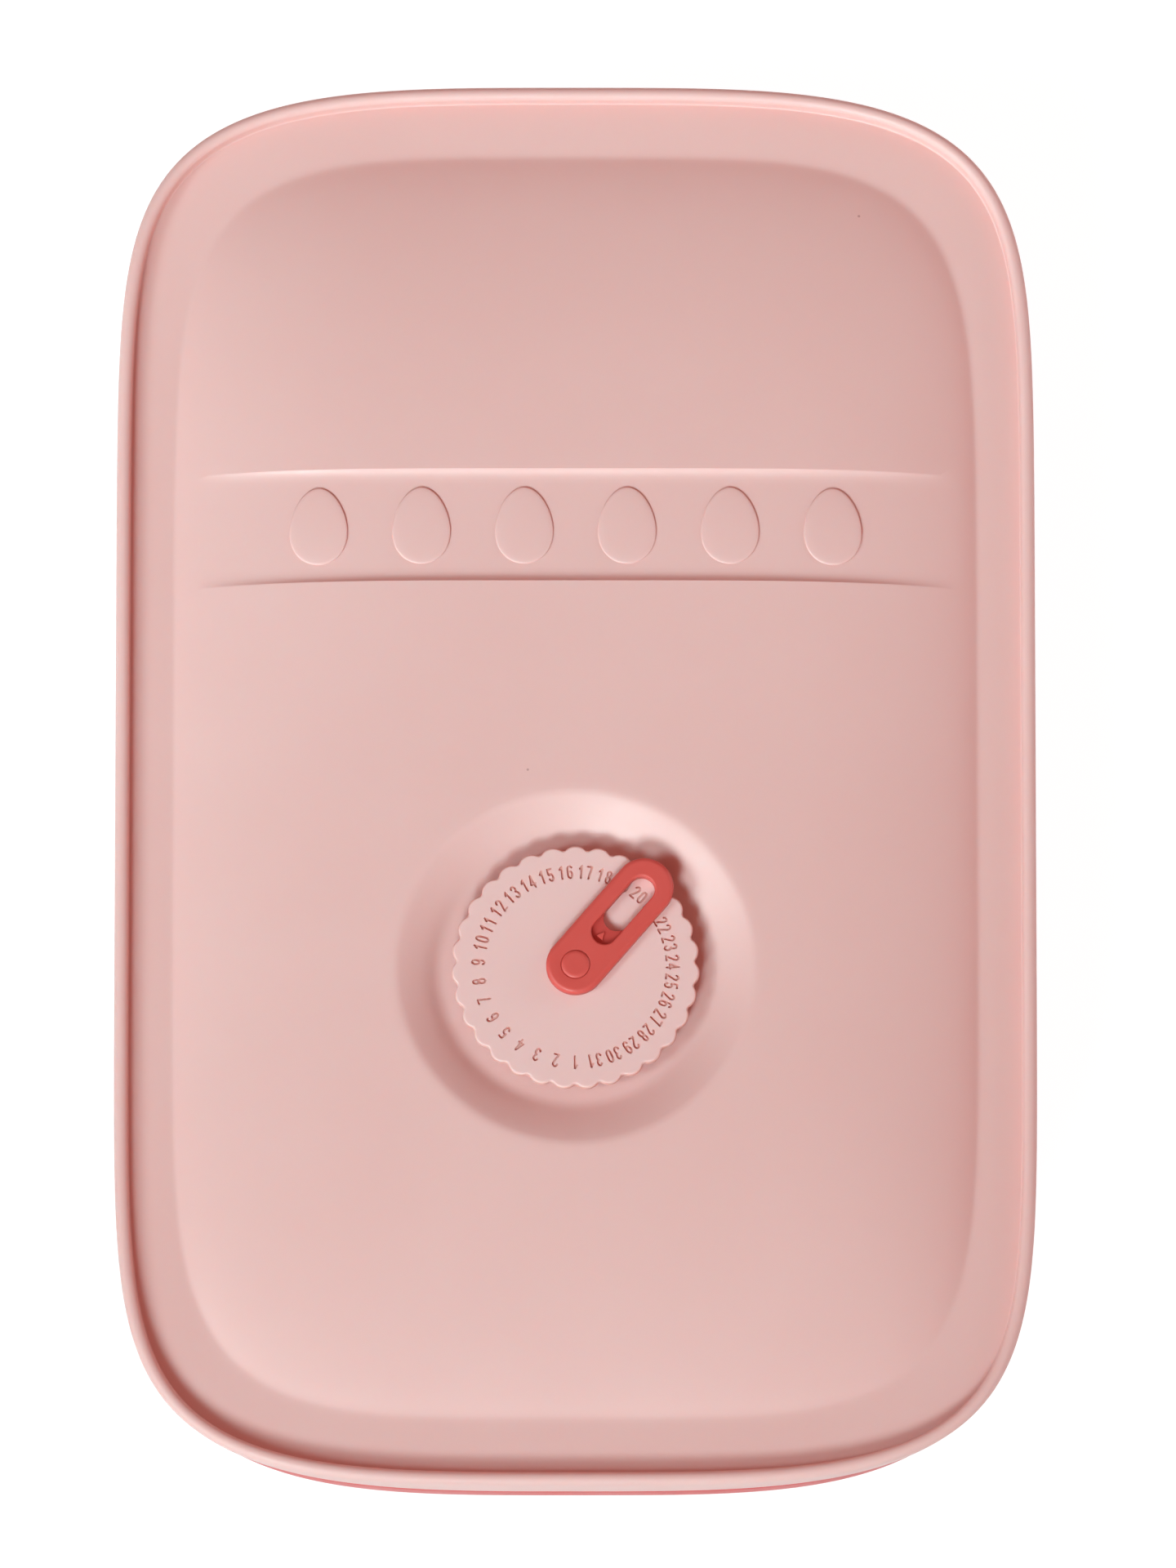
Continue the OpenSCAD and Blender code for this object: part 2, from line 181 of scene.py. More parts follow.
def share_at(x, y):
    """How far a point lies from the lid's middle, where 1 is the domed panel's edge."""
    s = np.full(np.shape(x), 0.5)
    for _ in range(24):
        f = np.abs(x / s / PANEL_A) ** PANEL_NX + np.abs(y / s / PANEL_B) ** PANEL_NY
        s = np.maximum(s * f ** 0.19, 1e-4)
    return s


def crown(share):
    """The domed panel, which runs into the flat flange with a small hollow rounding."""
    h = (DOME_H - EDGE_ROLL) * (1 - share ** DOME_POWER) + EDGE_ROLL * (1 - share ** ROLL_POWER)
    return FLANGE_Z + (h + np.sqrt(h * h + PANEL_BLEND ** 2)) / 2


def soft_cone(t, low=0.2, high=0.16):
    """An even slope from 0 to 1 that starts and ends softly, over the given shares of its way."""
    t = np.clip(t, 0, 1)
    rise = np.where(t < low, t * t / (2 * low), t - low / 2)
    whole = 1 - low / 2 - high / 2
    return np.where(t > 1 - high, whole - (1 - t) ** 2 / (2 * high), rise) / whole


def dished(x, y, panel, floor):
    """The panel's height, brought down an even cone to the dish's floor."""
    t = (np.hypot(x, y + DIAL_Y) - CONE_LOW_R) / (CONE_HIGH_R - CONE_LOW_R)
    return floor + (panel - floor) * soft_cone(t)


def scoop(inward):
    """The band's share of its depth at a distance from its edge: steep at first, easing into the floor."""
    return 1 - (1 - np.clip(inward / BAND_WALL, 0, 1)) ** BAND_WALL_POWER


def band_floor_depth(share):
    """The depth of the band's floor, which fades out towards the panel's edge."""
    return BAND_DEPTH * np.clip(1 - (share / BAND_REACH) ** BAND_FADE_POWER, 0, 1)


def top_height(x, y):
    """The panel's upper surface, with the band and the dish."""
    share = share_at(x, y)
    inside = scoop(y - BAND_Y) * scoop(BAND_Y + BAND_W - y)
    return dished(x, y, crown(share) - band_floor_depth(share) * inside, DISH_Z)


def under_height(x, y):
    """The panel's underside, which keeps to the dome and the dish but not to the band."""
    return dished(x, y, crown(share_at(x, y)) - LID_WALL, DISH_Z - LID_WALL)


# Meshes


class Shell:
    """Collects the vertices and faces of one piece, in millimetres."""

    def __init__(self):
        self.vertices, self.faces, self.count = [], [], 0

    def add(self, points, faces):
        self.vertices.append(np.asarray(points, float))
        self.faces += [tuple(i + self.count for i in f) for f in faces]
        self.count += len(points)

    def loft(self, rings):
        """Quads from ring to ring, each a loop of equally many points."""
        n = len(rings[0])
        self.add(np.concatenate(rings), [
            (j * n + i, j * n + (i + 1) % n, (j + 1) * n + (i + 1) % n, (j + 1) * n + i)
            for j in range(len(rings) - 1) for i in range(n)])

    def cap(self, one_ring):
        """Closes a ring with triangles to its middle."""
        n = len(one_ring)
        self.add(np.vstack([one_ring, one_ring.mean(0)]), [(i, (i + 1) % n, n) for i in range(n)])

    def mesh(self, name, sharp):
        """A clean closed mesh in metres, smooth apart from edges sharper than the given angle."""
        mesh = bpy.data.meshes.new(name)
        mesh.from_pydata((np.concatenate(self.vertices) * MM).tolist(), [], self.faces)
        bm = bmesh.new()
        bm.from_mesh(mesh)
        bmesh.ops.remove_doubles(bm, verts=bm.verts, dist=2e-6)
        bmesh.ops.dissolve_degenerate(bm, edges=bm.edges, dist=1e-7)
        bmesh.ops.recalc_face_normals(bm, faces=bm.faces)
        bm.to_mesh(mesh)
        bm.free()
        mesh.polygons.foreach_set("use_smooth", [True] * len(mesh.polygons))
        mesh.set_sharp_from_angle(angle=math.radians(sharp))
        return mesh


def plan_mesh(loops, lines=(), dots=None, faces=()):
    """Triangles over a plan whose edges follow the given closed loops and open lines."""
    points, edges, polygons = [], [], []
    for loop in loops:
        n, start = len(loop), len(points)
        points += [tuple(p[:2]) for p in loop]
        edges += [(start + i, start + (i + 1) % n) for i in range(n)]
    for line in lines:
        start = len(points)
        points += [tuple(p[:2]) for p in line]
        edges += [(start + i, start + i + 1) for i in range(len(line) - 1)]
    for polygon in faces:
        start = len(points)
        points += [tuple(p[:2]) for p in polygon]
        polygons.append(list(range(start, start + len(polygon))))
    if dots is not None:
        points += [tuple(p) for p in dots]
    made = delaunay_2d_cdt([Vector(p) for p in points], edges, polygons, 0, 1e-7)
    xy = np.array([tuple(v) for v in made[0]])
    return xy, np.array([tuple(f) for f in made[2]]), made[5]


def lattice(a, b, pitch):
    """A lattice of even triangles over a rectangle of half width a and half length b."""
    row = np.arange(-a, a, pitch)
    return np.concatenate([np.column_stack([row + (k % 2) * pitch / 2, np.full(len(row), y)])
                           for k, y in enumerate(np.arange(-b, b, pitch * math.sqrt(3) / 2))])


def terraces(shell, xy, triangles, label, top, bottom=None):
    """Faces over a plan whose labelled parts have their own heights, with upright walls between them.

    With lower heights given too, the whole becomes a solid with walls all round."""
    index, points = {}, []

    def vertex(i, z):
        key = (i, round(float(z), 4))
        if key not in index:
            index[key] = len(points)
            points.append((xy[i][0], xy[i][1], key[1]))
        return index[key]

    kinds_here = set(label)
    levels = [{k: top(k, xy[:, 0], xy[:, 1]) for k in kinds_here}]
    if bottom is not None:
        levels.append({k: bottom(k, xy[:, 0], xy[:, 1]) for k in kinds_here})
    faces, sides = [], {}
    for triangle, k in zip(triangles, label):
        for level in levels:
            faces.append(tuple(vertex(i, level[k][i]) for i in triangle))
        for i, j in zip(triangle, np.roll(triangle, -1)):
            sides.setdefault((min(i, j), max(i, j)), []).append(k)

    def wall(i, j, one, other):
        quad = [vertex(i, one[i]), vertex(j, one[j]), vertex(j, other[j]), vertex(i, other[i])]
        quad = list(dict.fromkeys(quad))
        if len(quad) > 2:
            faces.append(tuple(quad))

    for (i, j), kinds in sides.items():
        if len(kinds) == 1 and bottom is not None:
            wall(i, j, levels[0][kinds[0]], levels[1][kinds[0]])
        elif len(kinds) == 2 and kinds[0] != kinds[1]:
            for level in levels:
                wall(i, j, level[kinds[0]], level[kinds[1]])
    shell.add(points, faces)


def flat_face(shell, loops, z, inside):
    """A level face between loops, kept where its triangles' middles are inside."""
    xy, triangles, _ = plan_mesh(loops)
    x, y = xy[triangles].mean(1).T
    shell.add(np.column_stack([xy, np.full(len(xy), z)]), triangles[inside(x, y)].tolist())


# Finishes


def linear(r, g, b):
    """A colour given as it looks on a screen, from 0 to 255, as the shader wants it."""
    def one(v):
        v /= 255
        return v / 12.92 if v <= 0.04045 else ((v + 0.055) / 1.055) ** 2.4
    return (one(r), one(g), one(b), 1)


def feed(tree, socket, value):
    """Links a socket to another node's output, or gives it a plain value."""
    if isinstance(value, bpy.types.NodeSocket):
        tree.links.new(value, socket)
    else:
        socket.default_value = value


def add_node(tree, kind, **values):
    """A node with settings in small letters and inputs by their names, a space written as an underscore."""
    node = tree.nodes.new(kind)
    for key, value in values.items():
        if hasattr(node, key):
            setattr(node, key, value)
        else:
            feed(tree, node.inputs[key.replace("_", " ")], value)
    return node


def maths(tree, operation, one, other=0.0):
    """The result of a sum with one or two values or sockets."""
    node = add_node(tree, "ShaderNodeMath", operation=operation)
    feed(tree, node.inputs[0], one)
    feed(tree, node.inputs[1], other)
    return node.outputs[0]


def mixed(tree, share, one, other, kind="RGBA"):
    """A mix of two colours, or of two plain values for the kind FLOAT."""
    return add_node(tree, "ShaderNodeMix", data_type=kind, Factor=share, A=one, B=other).outputs["Result"]


def fitted(tree, value, low, high, to_low, to_high):
    """A value brought from one range to another."""
    return add_node(tree, "ShaderNodeMapRange", Value=value, From_Min=low, From_Max=high,
                    To_Min=to_low, To_Max=to_high).outputs["Result"]


def noise(tree, scale, detail, roughness):
    """Noise that stays on the object as it moves."""
    return add_node(tree, "ShaderNodeTexNoise", Vector=object_place(tree), Scale=scale, Detail=detail,
                    Roughness=roughness).outputs["Fac"]


def object_place(tree):
    return add_node(tree, "ShaderNodeTexCoord").outputs["Object"]


def new_group(name, inputs, outputs):
    """A shader node group, with its given inputs and its outputs, where a tuple stands for a colour."""
    tree = bpy.data.node_groups.new(name, "ShaderNodeTree")
    for in_out, sockets in (("INPUT", inputs), ("OUTPUT", outputs)):
        for label, value in sockets.items():
            kind = "NodeSocketColor" if isinstance(value, tuple) else "NodeSocketFloat"
            tree.interface.new_socket(label, in_out=in_out, socket_type=kind).default_value = value
    return tree, tree.nodes.new("NodeGroupInput").outputs, tree.nodes.new("NodeGroupOutput").inputs


def make_grain_group():
    """The fine grain of a moulding tool over slow waves of sink, and a roughness that follows the waves."""
    tree, given, out = new_group(
        "moulded_grain",
        {"Grain Scale": 2600.0, "Wave Scale": 45.0, "Wave Share": 0.25, "Roughness Low": 0.36,
         "Roughness High": 0.46},
        {"Height": 0.0, "Roughness": 0.0})
    grain = noise(tree, given["Grain Scale"], 3.0, 0.6)
    wave = noise(tree, given["Wave Scale"], 2.0, 0.5)
    feed(tree, out["Height"], mixed(tree, given["Wave Share"], grain, wave, "FLOAT"))
    rough = fitted(tree, wave, 0.3, 0.7, given["Roughness Low"], given["Roughness High"])
    feed(tree, out["Roughness"], rough)
    return tree


def make_tint_group():
    """A dyed plastic's colour: faint clouds, and a few dark specks of dust."""
    tree, given, out = new_group(
        "dyed_plastic",
        {"Colour": (0.8, 0.8, 0.8, 1), "Cloud Colour": (0.7, 0.7, 0.7, 1),
         "Speck Colour": (0.3, 0.2, 0.2, 1), "Cloud Scale": 14.0, "Cloud Share": 0.35,
         "Speck Scale": 90.0, "Speck Size": 0.035, "Speck Share": 0.5},
        {"Colour": (0, 0, 0, 1)})
    cloud = fitted(tree, noise(tree, given["Cloud Scale"], 4.0, 0.55), 0.35, 0.65, 0.0, given["Cloud Share"])
    clouded = mixed(tree, cloud, given["Colour"], given["Cloud Colour"])
    cells = add_node(tree, "ShaderNodeTexVoronoi", Vector=object_place(tree),
                     Scale=given["Speck Scale"]).outputs
    chance = add_node(tree, "ShaderNodeSeparateColor", Color=cells["Color"]).outputs["Red"]
    rare = maths(tree, "GREATER_THAN", chance, 0.93)
    near = maths(tree, "LESS_THAN", cells["Distance"], given["Speck Size"])
    speck = maths(tree, "MULTIPLY", maths(tree, "MULTIPLY", near, rare), given["Speck Share"])
    feed(tree, out["Colour"], mixed(tree, speck, clouded, given["Speck Colour"]))
    return tree


GRAIN_GROUP = make_grain_group()
TINT_GROUP = make_tint_group()


def moulded_plastic(name, colour, cloud, speck, bounce_shade, roughness=(0.4, 0.48), grain=0.06, recess_shade=None):
    """Satin moulded plastic that lets a little warm light through its skin.

    Bounce shade is painted shade: a redder colour that only light bouncing on sees, which turns hollows and
    shadows rust-red. Recess shade is a level, a depth below it and the colour that the plastic turns towards
    at that depth: painted shade in sunk parts and on lower sides."""
    material = bpy.data.materials.new(name)
    material.use_nodes = True
    tree = material.node_tree
    tint = add_node(tree, "ShaderNodeGroup", node_tree=TINT_GROUP, Colour=colour, Cloud_Colour=cloud,
                    Speck_Colour=speck).outputs["Colour"]
    # Painted shade: below the given level the colour turns towards a darker one, for the shade in sunk
    # numbers, the pointer's ledge and the lower sides of dial and pointer.
    if recess_shade:
        level, depth, shade_colour = recess_shade
        height = add_node(tree, "ShaderNodeSeparateXYZ", Vector=object_place(tree)).outputs["Z"]
        tint = mixed(tree, fitted(tree, height, level * MM, (level - depth) * MM, 0.0, 0.4), tint, shade_colour)
    # Painted shade: light that bounces on sees a redder colour than the camera does, so hollows and shadows
    # turn rust-red.
    path = add_node(tree, "ShaderNodeLightPath").outputs
    surface = add_node(tree, "ShaderNodeGroup", node_tree=GRAIN_GROUP, Roughness_Low=roughness[0],
                       Roughness_High=roughness[1]).outputs
    bump = add_node(tree, "ShaderNodeBump", Strength=grain, Distance=0.0002, Height=surface["Height"])
    shader = tree.nodes["Principled BSDF"]
    for label, value in (
            ("Base Color", mixed(tree, path["Is Diffuse Ray"], tint, bounce_shade)),
            ("Roughness", surface["Roughness"]), ("Normal", bump.outputs["Normal"]), ("IOR", 1.46),
            ("Subsurface Weight", 0.2), ("Subsurface Radius", (1.0, 0.35, 0.25)),
            ("Subsurface Scale", 0.0012)):
        feed(tree, shader.inputs[label], value)
    return material


# The bounce colours are painted shade: redder colours that only bounced light sees, to turn hollows and
# shadows rust-red.
PINK, PINK_BOUNCE_SHADE, CORAL_BOUNCE_SHADE = linear(229, 199, 197), linear(232, 132, 112), linear(214, 60, 48)
LID_PLASTIC = moulded_plastic(
    "pink_lid_plastic", PINK, linear(226, 191, 188), linear(150, 96, 90), PINK_BOUNCE_SHADE)
# Painted shade: the dial turns brown below its face, in the numbers' grooves and down its edge.
DIAL_PLASTIC = moulded_plastic(
    "pink_dial_plastic", linear(233, 207, 206), linear(230, 199, 197), linear(170, 110, 104), PINK_BOUNCE_SHADE,
    recess_shade=(DIAL_Z + DIAL_T, ENGRAVING, linear(190, 130, 108)))
TRAY_PLASTIC = moulded_plastic(
    "pink_tray_plastic", PINK, linear(224, 186, 183), linear(160, 104, 98), PINK_BOUNCE_SHADE, (0.38, 0.5), 0.09)
# Painted shade: the pointer turns dark red below its top, on its ledge and down its sides.
POINTER_PLASTIC = moulded_plastic(
    "coral_pointer_plastic", linear(210, 92, 86), linear(205, 84, 78), linear(160, 50, 46), CORAL_BOUNCE_SHADE,
    (0.34, 0.44), 0.05, (POINTER_TOP - 0.8, 0.45, linear(160, 38, 38)))
BASE_PLASTIC = moulded_plastic(
    "coral_base_plastic", linear(209, 96, 96), linear(202, 86, 87), linear(150, 60, 58), CORAL_BOUNCE_SHADE,
    (0.36, 0.48), 0.09)


def finish_piece(name, mesh, body, material, nodes):
    """Puts a mesh into the scene as a piece that rides on a body and stands for the named CAD nodes."""
    piece = bpy.data.objects.new(name, mesh)
    bpy.context.scene.collection.objects.link(piece)
    mesh.materials.clear()
    mesh.materials.append(material)
    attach(piece, body)
    if nodes:
        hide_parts(*nodes)
    return piece


# Lid


def middle_faces(shell, loops, lines, dots, height, hole_r):
    """Faces over the middle of the panel, inside its inmost ring and round a hole at the pivot."""
    xy, triangles, _ = plan_mesh(loops, lines, dots)
    x, y = xy[triangles].mean(1).T
    keep = (share_at(x, y) < MIDDLE_SHARE + 1e-4) & (np.hypot(x, y + DIAL_Y) > hole_r - 0.005)
    shell.add(np.column_stack([xy, height(xy[:, 0], xy[:, 1])]), triangles[keep].tolist())


def lid_edge_rings():
    """Rings over the bead, down the skirt and up inside it to the lid's underside."""
    bead_r, foot = BEAD_W / 2, 0.3
    profile = [(BEAD_W + foot * (1 - math.sin(t)), FLANGE_Z + foot * (1 - math.cos(t)))
               for t in np.radians(np.linspace(0, 90, 4))]
    profile += rounding(bead_r, FLANGE_Z + BEAD_H - bead_r, bead_r, 180, 0, 14)
    profile += [(SKIRT_DRAFT * 0.4, FLANGE_Z - 1), (SKIRT_DRAFT * 0.7, SKIRT_Z + 3)]
    profile += rounding(SKIRT_DRAFT + 0.5, SKIRT_Z + 0.5, 0.5, 0, -90, 4)
    profile += rounding(SKIRT_WALL - 0.3, SKIRT_Z + 0.3, 0.3, 270, 180, 3)
    inner = [profile.pop(), (SKIRT_WALL, BASE_H - 0.6), (SKIRT_WALL + 0.18, BASE_H - 0.18),
             (SKIRT_WALL + 0.6, BASE_H)]
    return [rim(inset, z) for inset, z in profile] + [low_rim(inset, z) for inset, z in inner]


def lid_mesh():
    """The lid in one shell: panel with band and dish, flange, bead, skirt, underside and the pin's boss."""
    shell = Shell()
    top_rings = [ring(PANEL * share, 0) for share in (
        MIDDLE_SHARE, 0.962, 0.972, 0.98, 0.986, 0.991, 0.996, 1.0, 1.004, 1.009, 1.015, 1.024)]
    last, bead_foot = top_rings[-1][:, :2], EDGE - (BEAD_W + 0.5) * EDGE_OUT
    top_rings += [ring(last + (bead_foot - last) * t, 0) for t in (0.15, 0.35, 0.6, 0.85, 1)]
    under_rings = [ring(PANEL * share, 0) for share in (1.02, 1.01, 1.0, 0.985, 0.97, MIDDLE_SHARE)]
    for rings, height in ((top_rings, top_height), (under_rings, under_height)):
        for r in rings:
            r[:, 2] = height(r[:, 0], r[:, 1])
    top_rings[-1][:, 2] = FLANGE_Z

    dots = lattice(PANEL_A, PANEL_B, 1.7)
    radius = np.hypot(dots[:, 0], dots[:, 1] + DIAL_Y)
    clear = (share_at(dots[:, 0], dots[:, 1]) < 0.943) & (radius > BOSS_R + 1.5)
    lines, line_x = [], np.arange(-86, 86.1, 1.6)
    for edge_y, way in ((BAND_Y, 1), (BAND_Y + BAND_W, -1)):
        lines += [np.column_stack([line_x, np.full(len(line_x), edge_y + way * step)])
                  for step in (-0.12, 0, 0.2, 0.45, 0.8, 1.2, 1.7, 2.5, BAND_WALL)]
        clear &= np.abs(dots[:, 1] - edge_y - way * BAND_WALL / 2) > 2.6
    cone_radii = (CONE_LOW_R, CONE_LOW_R + 1.2, CONE_LOW_R + 2.4,
                  CONE_HIGH_R - 1.9, CONE_HIGH_R - 0.95, CONE_HIGH_R)
    for r in cone_radii:
        clear &= np.abs(radius - r) > 0.8
    boss_foot = circle(BOSS_R + BOSS_FOOT, DISH_Z)
    loops = [top_rings[0]] + [circle(r, 0, 200) for r in cone_radii] + [boss_foot]
    middle_faces(shell, loops, lines, dots[clear], top_height, BOSS_R + BOSS_FOOT)
    shell.loft(top_rings + lid_edge_rings() + under_rings)

    bore = PIN_R + PIN_PLAY
    dots = lattice(PANEL_A, PANEL_B, 3.2)
    radius = np.hypot(dots[:, 0], dots[:, 1] + DIAL_Y)
    clear = (share_at(dots[:, 0], dots[:, 1]) < 0.935) & (radius > BOSS_R)
    loops = [under_rings[-1], circle(bore, 0), circle(CONE_HIGH_R, 0, 120), circle(CONE_LOW_R, 0, 120)]
    middle_faces(shell, loops, (), dots[clear], under_height, bore)

    boss = [(BOSS_R + BOSS_FOOT - BOSS_FOOT * math.sin(t), DISH_Z + BOSS_FOOT - BOSS_FOOT * math.cos(t))
            for t in np.radians((30, 60, 90))]
    boss += [(BOSS_R - BOSS_EDGE + BOSS_EDGE * math.cos(t), BOSS_Z - BOSS_EDGE + BOSS_EDGE * math.sin(t))
             for t in np.radians((0, 30, 60, 90))]
    boss += [(bore, BOSS_Z), (bore, DISH_Z - LID_WALL)]
    shell.loft([boss_foot] + [circle(r, z) for r, z in boss])
    return shell.mesh("lid_shell", 40)


finish_piece("lid_shell", lid_mesh(), "cover", LID_PLASTIC, ["lid"])

# Egg pads in the band


def pad_tree():
    """Raised egg pads, one on each point it is given, turned to the surface there."""
    tree = bpy.data.node_groups.new("egg_pads", "GeometryNodeTree")
    face = tree.interface
    face.new_socket("Geometry", in_out="INPUT", socket_type="NodeSocketGeometry")
    for label, value in (
            ("Pad Width", 0.0135), ("Pad Length", 0.0185), ("Pad Height", 0.0007), ("Taper", 0.16)):
        face.new_socket(label, in_out="INPUT", socket_type="NodeSocketFloat").default_value = value
    face.new_socket("Finish", in_out="INPUT", socket_type="NodeSocketMaterial")
    face.new_socket("Geometry", in_out="OUTPUT", socket_type="NodeSocketGeometry")
    given, out = tree.nodes.new("NodeGroupInput").outputs, tree.nodes.new("NodeGroupOutput").inputs

    def times(one, other):
        return maths(tree, "MULTIPLY", one, other)

    ball = add_node(tree, "GeometryNodeMeshUVSphere", Segments=56, Rings=28, Radius=1.0)
    place = add_node(tree, "GeometryNodeInputPosition").outputs["Position"]
    part = add_node(tree, "ShaderNodeSeparateXYZ", Vector=place).outputs
    narrow = maths(tree, "SUBTRACT", 1.0, times(part["Y"], given["Taper"]))
    across = times(times(part["X"], narrow), times(given["Pad Width"], 0.5))
    along = times(part["Y"], times(given["Pad Length"], 0.5))
    flat = maths(tree, "POWER", maths(tree, "ABSOLUTE", part["Z"]), 0.45)
    up = times(times(flat, maths(tree, "SIGN", part["Z"])), given["Pad Height"])
    spot = add_node(tree, "ShaderNodeCombineXYZ", X=across, Y=along, Z=up)
    shape = add_node(tree, "GeometryNodeSetPosition", Geometry=ball.outputs["Mesh"],
                     Position=spot.outputs[0])
    lean = add_node(tree, "GeometryNodeInputNamedAttribute", data_type="FLOAT_VECTOR", Name="lean")
    turn = add_node(tree, "FunctionNodeAlignRotationToVector", axis="Z", Vector=lean.outputs["Attribute"])
    copies = add_node(tree, "GeometryNodeInstanceOnPoints", Points=given["Geometry"],
                      Instance=shape.outputs["Geometry"], Rotation=turn.outputs["Rotation"])
    real = add_node(tree, "GeometryNodeRealizeInstances", Geometry=copies.outputs["Instances"])
    smooth = add_node(tree, "GeometryNodeSetShadeSmooth", Geometry=real.outputs["Geometry"])
    finish = add_node(tree, "GeometryNodeSetMaterial", Geometry=smooth.outputs["Geometry"],
                      Material=given["Finish"])
    feed(tree, out["Geometry"], finish.outputs["Geometry"])
    return tree


def egg_pads(count=6, pitch=24.0):
    """A row of egg pads along the middle of the band."""
    x = (np.arange(count) - (count - 1) / 2) * pitch
    y = np.full(count, BAND_Y + BAND_W / 2)
    z = top_height(x, y)
    slope_x = top_height(x + 0.5, y) - top_height(x - 0.5, y)
    slope_y = top_height(x, y + 0.5) - top_height(x, y - 0.5)
    points = bpy.data.meshes.new("pad_points")
    points.from_pydata((np.stack([x, y, z], 1) * MM).tolist(), [], [])
    lean = points.attributes.new("lean", "FLOAT_VECTOR", "POINT")
    upward = np.stack([-slope_x, -slope_y, np.ones(count)], 1)
    lean.data.foreach_set("vector", upward.astype(np.float32).ravel())
    holder = bpy.data.objects.new("pad_holder", points)
    bpy.context.scene.collection.objects.link(holder)
    made = holder.modifiers.new("egg_pads", "NODES")
    made.node_group = pad_tree()
    names = {item.name: item.identifier for item in made.node_group.interface.items_tree
             if item.item_type == "SOCKET" and item.in_out == "INPUT"}
    made[names["Finish"]] = LID_PLASTIC
    bpy.context.view_layer.update()
    mesh = bpy.data.meshes.new_from_object(holder.evaluated_get(bpy.context.evaluated_depsgraph_get()))
    bpy.data.objects.remove(holder)
    return mesh


finish_piece("band_egg_pads", egg_pads(), "cover", LID_PLASTIC, [])

# Date dial


def arc(cx, cy, rx, ry, start, stop, steps):
    """Points along an arc of an ellipse, between two angles in degrees."""
    angle = np.radians(np.linspace(start, stop, steps + 1))
    return list(zip(cx + rx * np.cos(angle), cy + ry * np.sin(angle)))


def digit_strokes(digit):
    """The middle lines of a narrow digit's strokes, with the digit's lower left corner near (0, 0)."""
    w, h = NUMBER_W - STROKE, NUMBER_H - STROKE
    half = w / 2
    six = [arc(half, 0.82, half, 0.82, 0, 360, 14),
           arc(half, h - 0.85, half, 0.85, 35, 180, 7) + [(0, 0.82)]]
    shapes = {
        0: [arc(half, h - 0.8, half, 0.8, 0, 180, 8) + arc(half, 0.8, half, 0.8, 180, 360, 8)
            + [(w, h - 0.8)]],
        1: [[(0.12, h - 0.7), (0.62, h), (0.62, 0)]],
        2: [arc(half, h - 0.62, half, 0.62, 170, -25, 9) + [(0, 0), (w, 0)]],
        3: [arc(half, h - 0.68, half * 0.92, 0.68, 160, -75, 9), arc(half, 0.76, half, 0.76, 80, -160, 9)],
        4: [[(0.7, 0), (0.7, h), (-0.05, 0.8), (w + 0.05, 0.8)]],
        5: [[(w - 0.06, h), (0.1, h), (0.04, h - 1.22)] + arc(half, 0.85, half, 0.85, 130, -155, 10)],
        6: six,
        7: [[(0, h), (w, h), (0.34, 0)]],
        8: [arc(half, h - 0.66, half * 0.88, 0.66, 0, 360, 14), arc(half, 0.77, half, 0.77, 0, 360, 14)],
        9: [[(w - x, h - y) for x, y in stroke] for stroke in six],
    }
    return [np.array(stroke) for stroke in shapes[digit]]


def stroke_outlines(day):
    """Outlines of every straight bit of a day's number, in its place on the dial."""
    text = str(day)
    whole = len(text) * NUMBER_W + (len(text) - 1) * NUMBER_GAP
    angle = math.radians(-90 - (day - 1) * 360 / DAYS)
    up = np.array([math.cos(angle), math.sin(angle)])
    across = np.array([math.sin(angle), -math.cos(angle)])
    outlines = []
    for place, digit in enumerate(text):
        left = place * (NUMBER_W + NUMBER_GAP) - whole / 2 + STROKE / 2
        for stroke in digit_strokes(int(digit)):
            spot = [(NUMBER_R - NUMBER_H / 2 + STROKE / 2 + y) * up + (left + x) * across for x, y in stroke]
            for one, other in zip(spot[:-1], spot[1:]):
                way = (other - one) / np.linalg.norm(other - one)
                side = np.array([-way[1], way[0]])
                ends = [(other, math.radians(t)) for t in (-90, -45, 0, 45, 90)]
                ends += [(one, math.radians(t)) for t in (90, 135, 180, 225, 270)]
                outlines.append([end + STROKE / 2 * (math.cos(t) * way + math.sin(t) * side) + (0, -DIAL_Y)
                                 for end, t in ends])
    return outlines


def scalloped_edge(count=DAYS * 24):
    """The dial's outline, with a lobe for each day that runs softly into the circle beside it."""
    angle = 2 * math.pi * np.arange(count) / count
    middle = DIAL_R + SCALLOP_H - SCALLOP_R
    off = (angle - math.pi / 2 + math.pi / DAYS) % (2 * math.pi / DAYS) - math.pi / DAYS
    lobe = middle * np.cos(off) + np.sqrt(SCALLOP_R ** 2 - (middle * np.sin(off)) ** 2)
    r = (lobe + DIAL_R + np.sqrt((lobe - DIAL_R) ** 2 + 0.02)) / 2 - 0.06
    return np.stack([r * np.cos(angle), r * np.sin(angle) - DIAL_Y], 1)


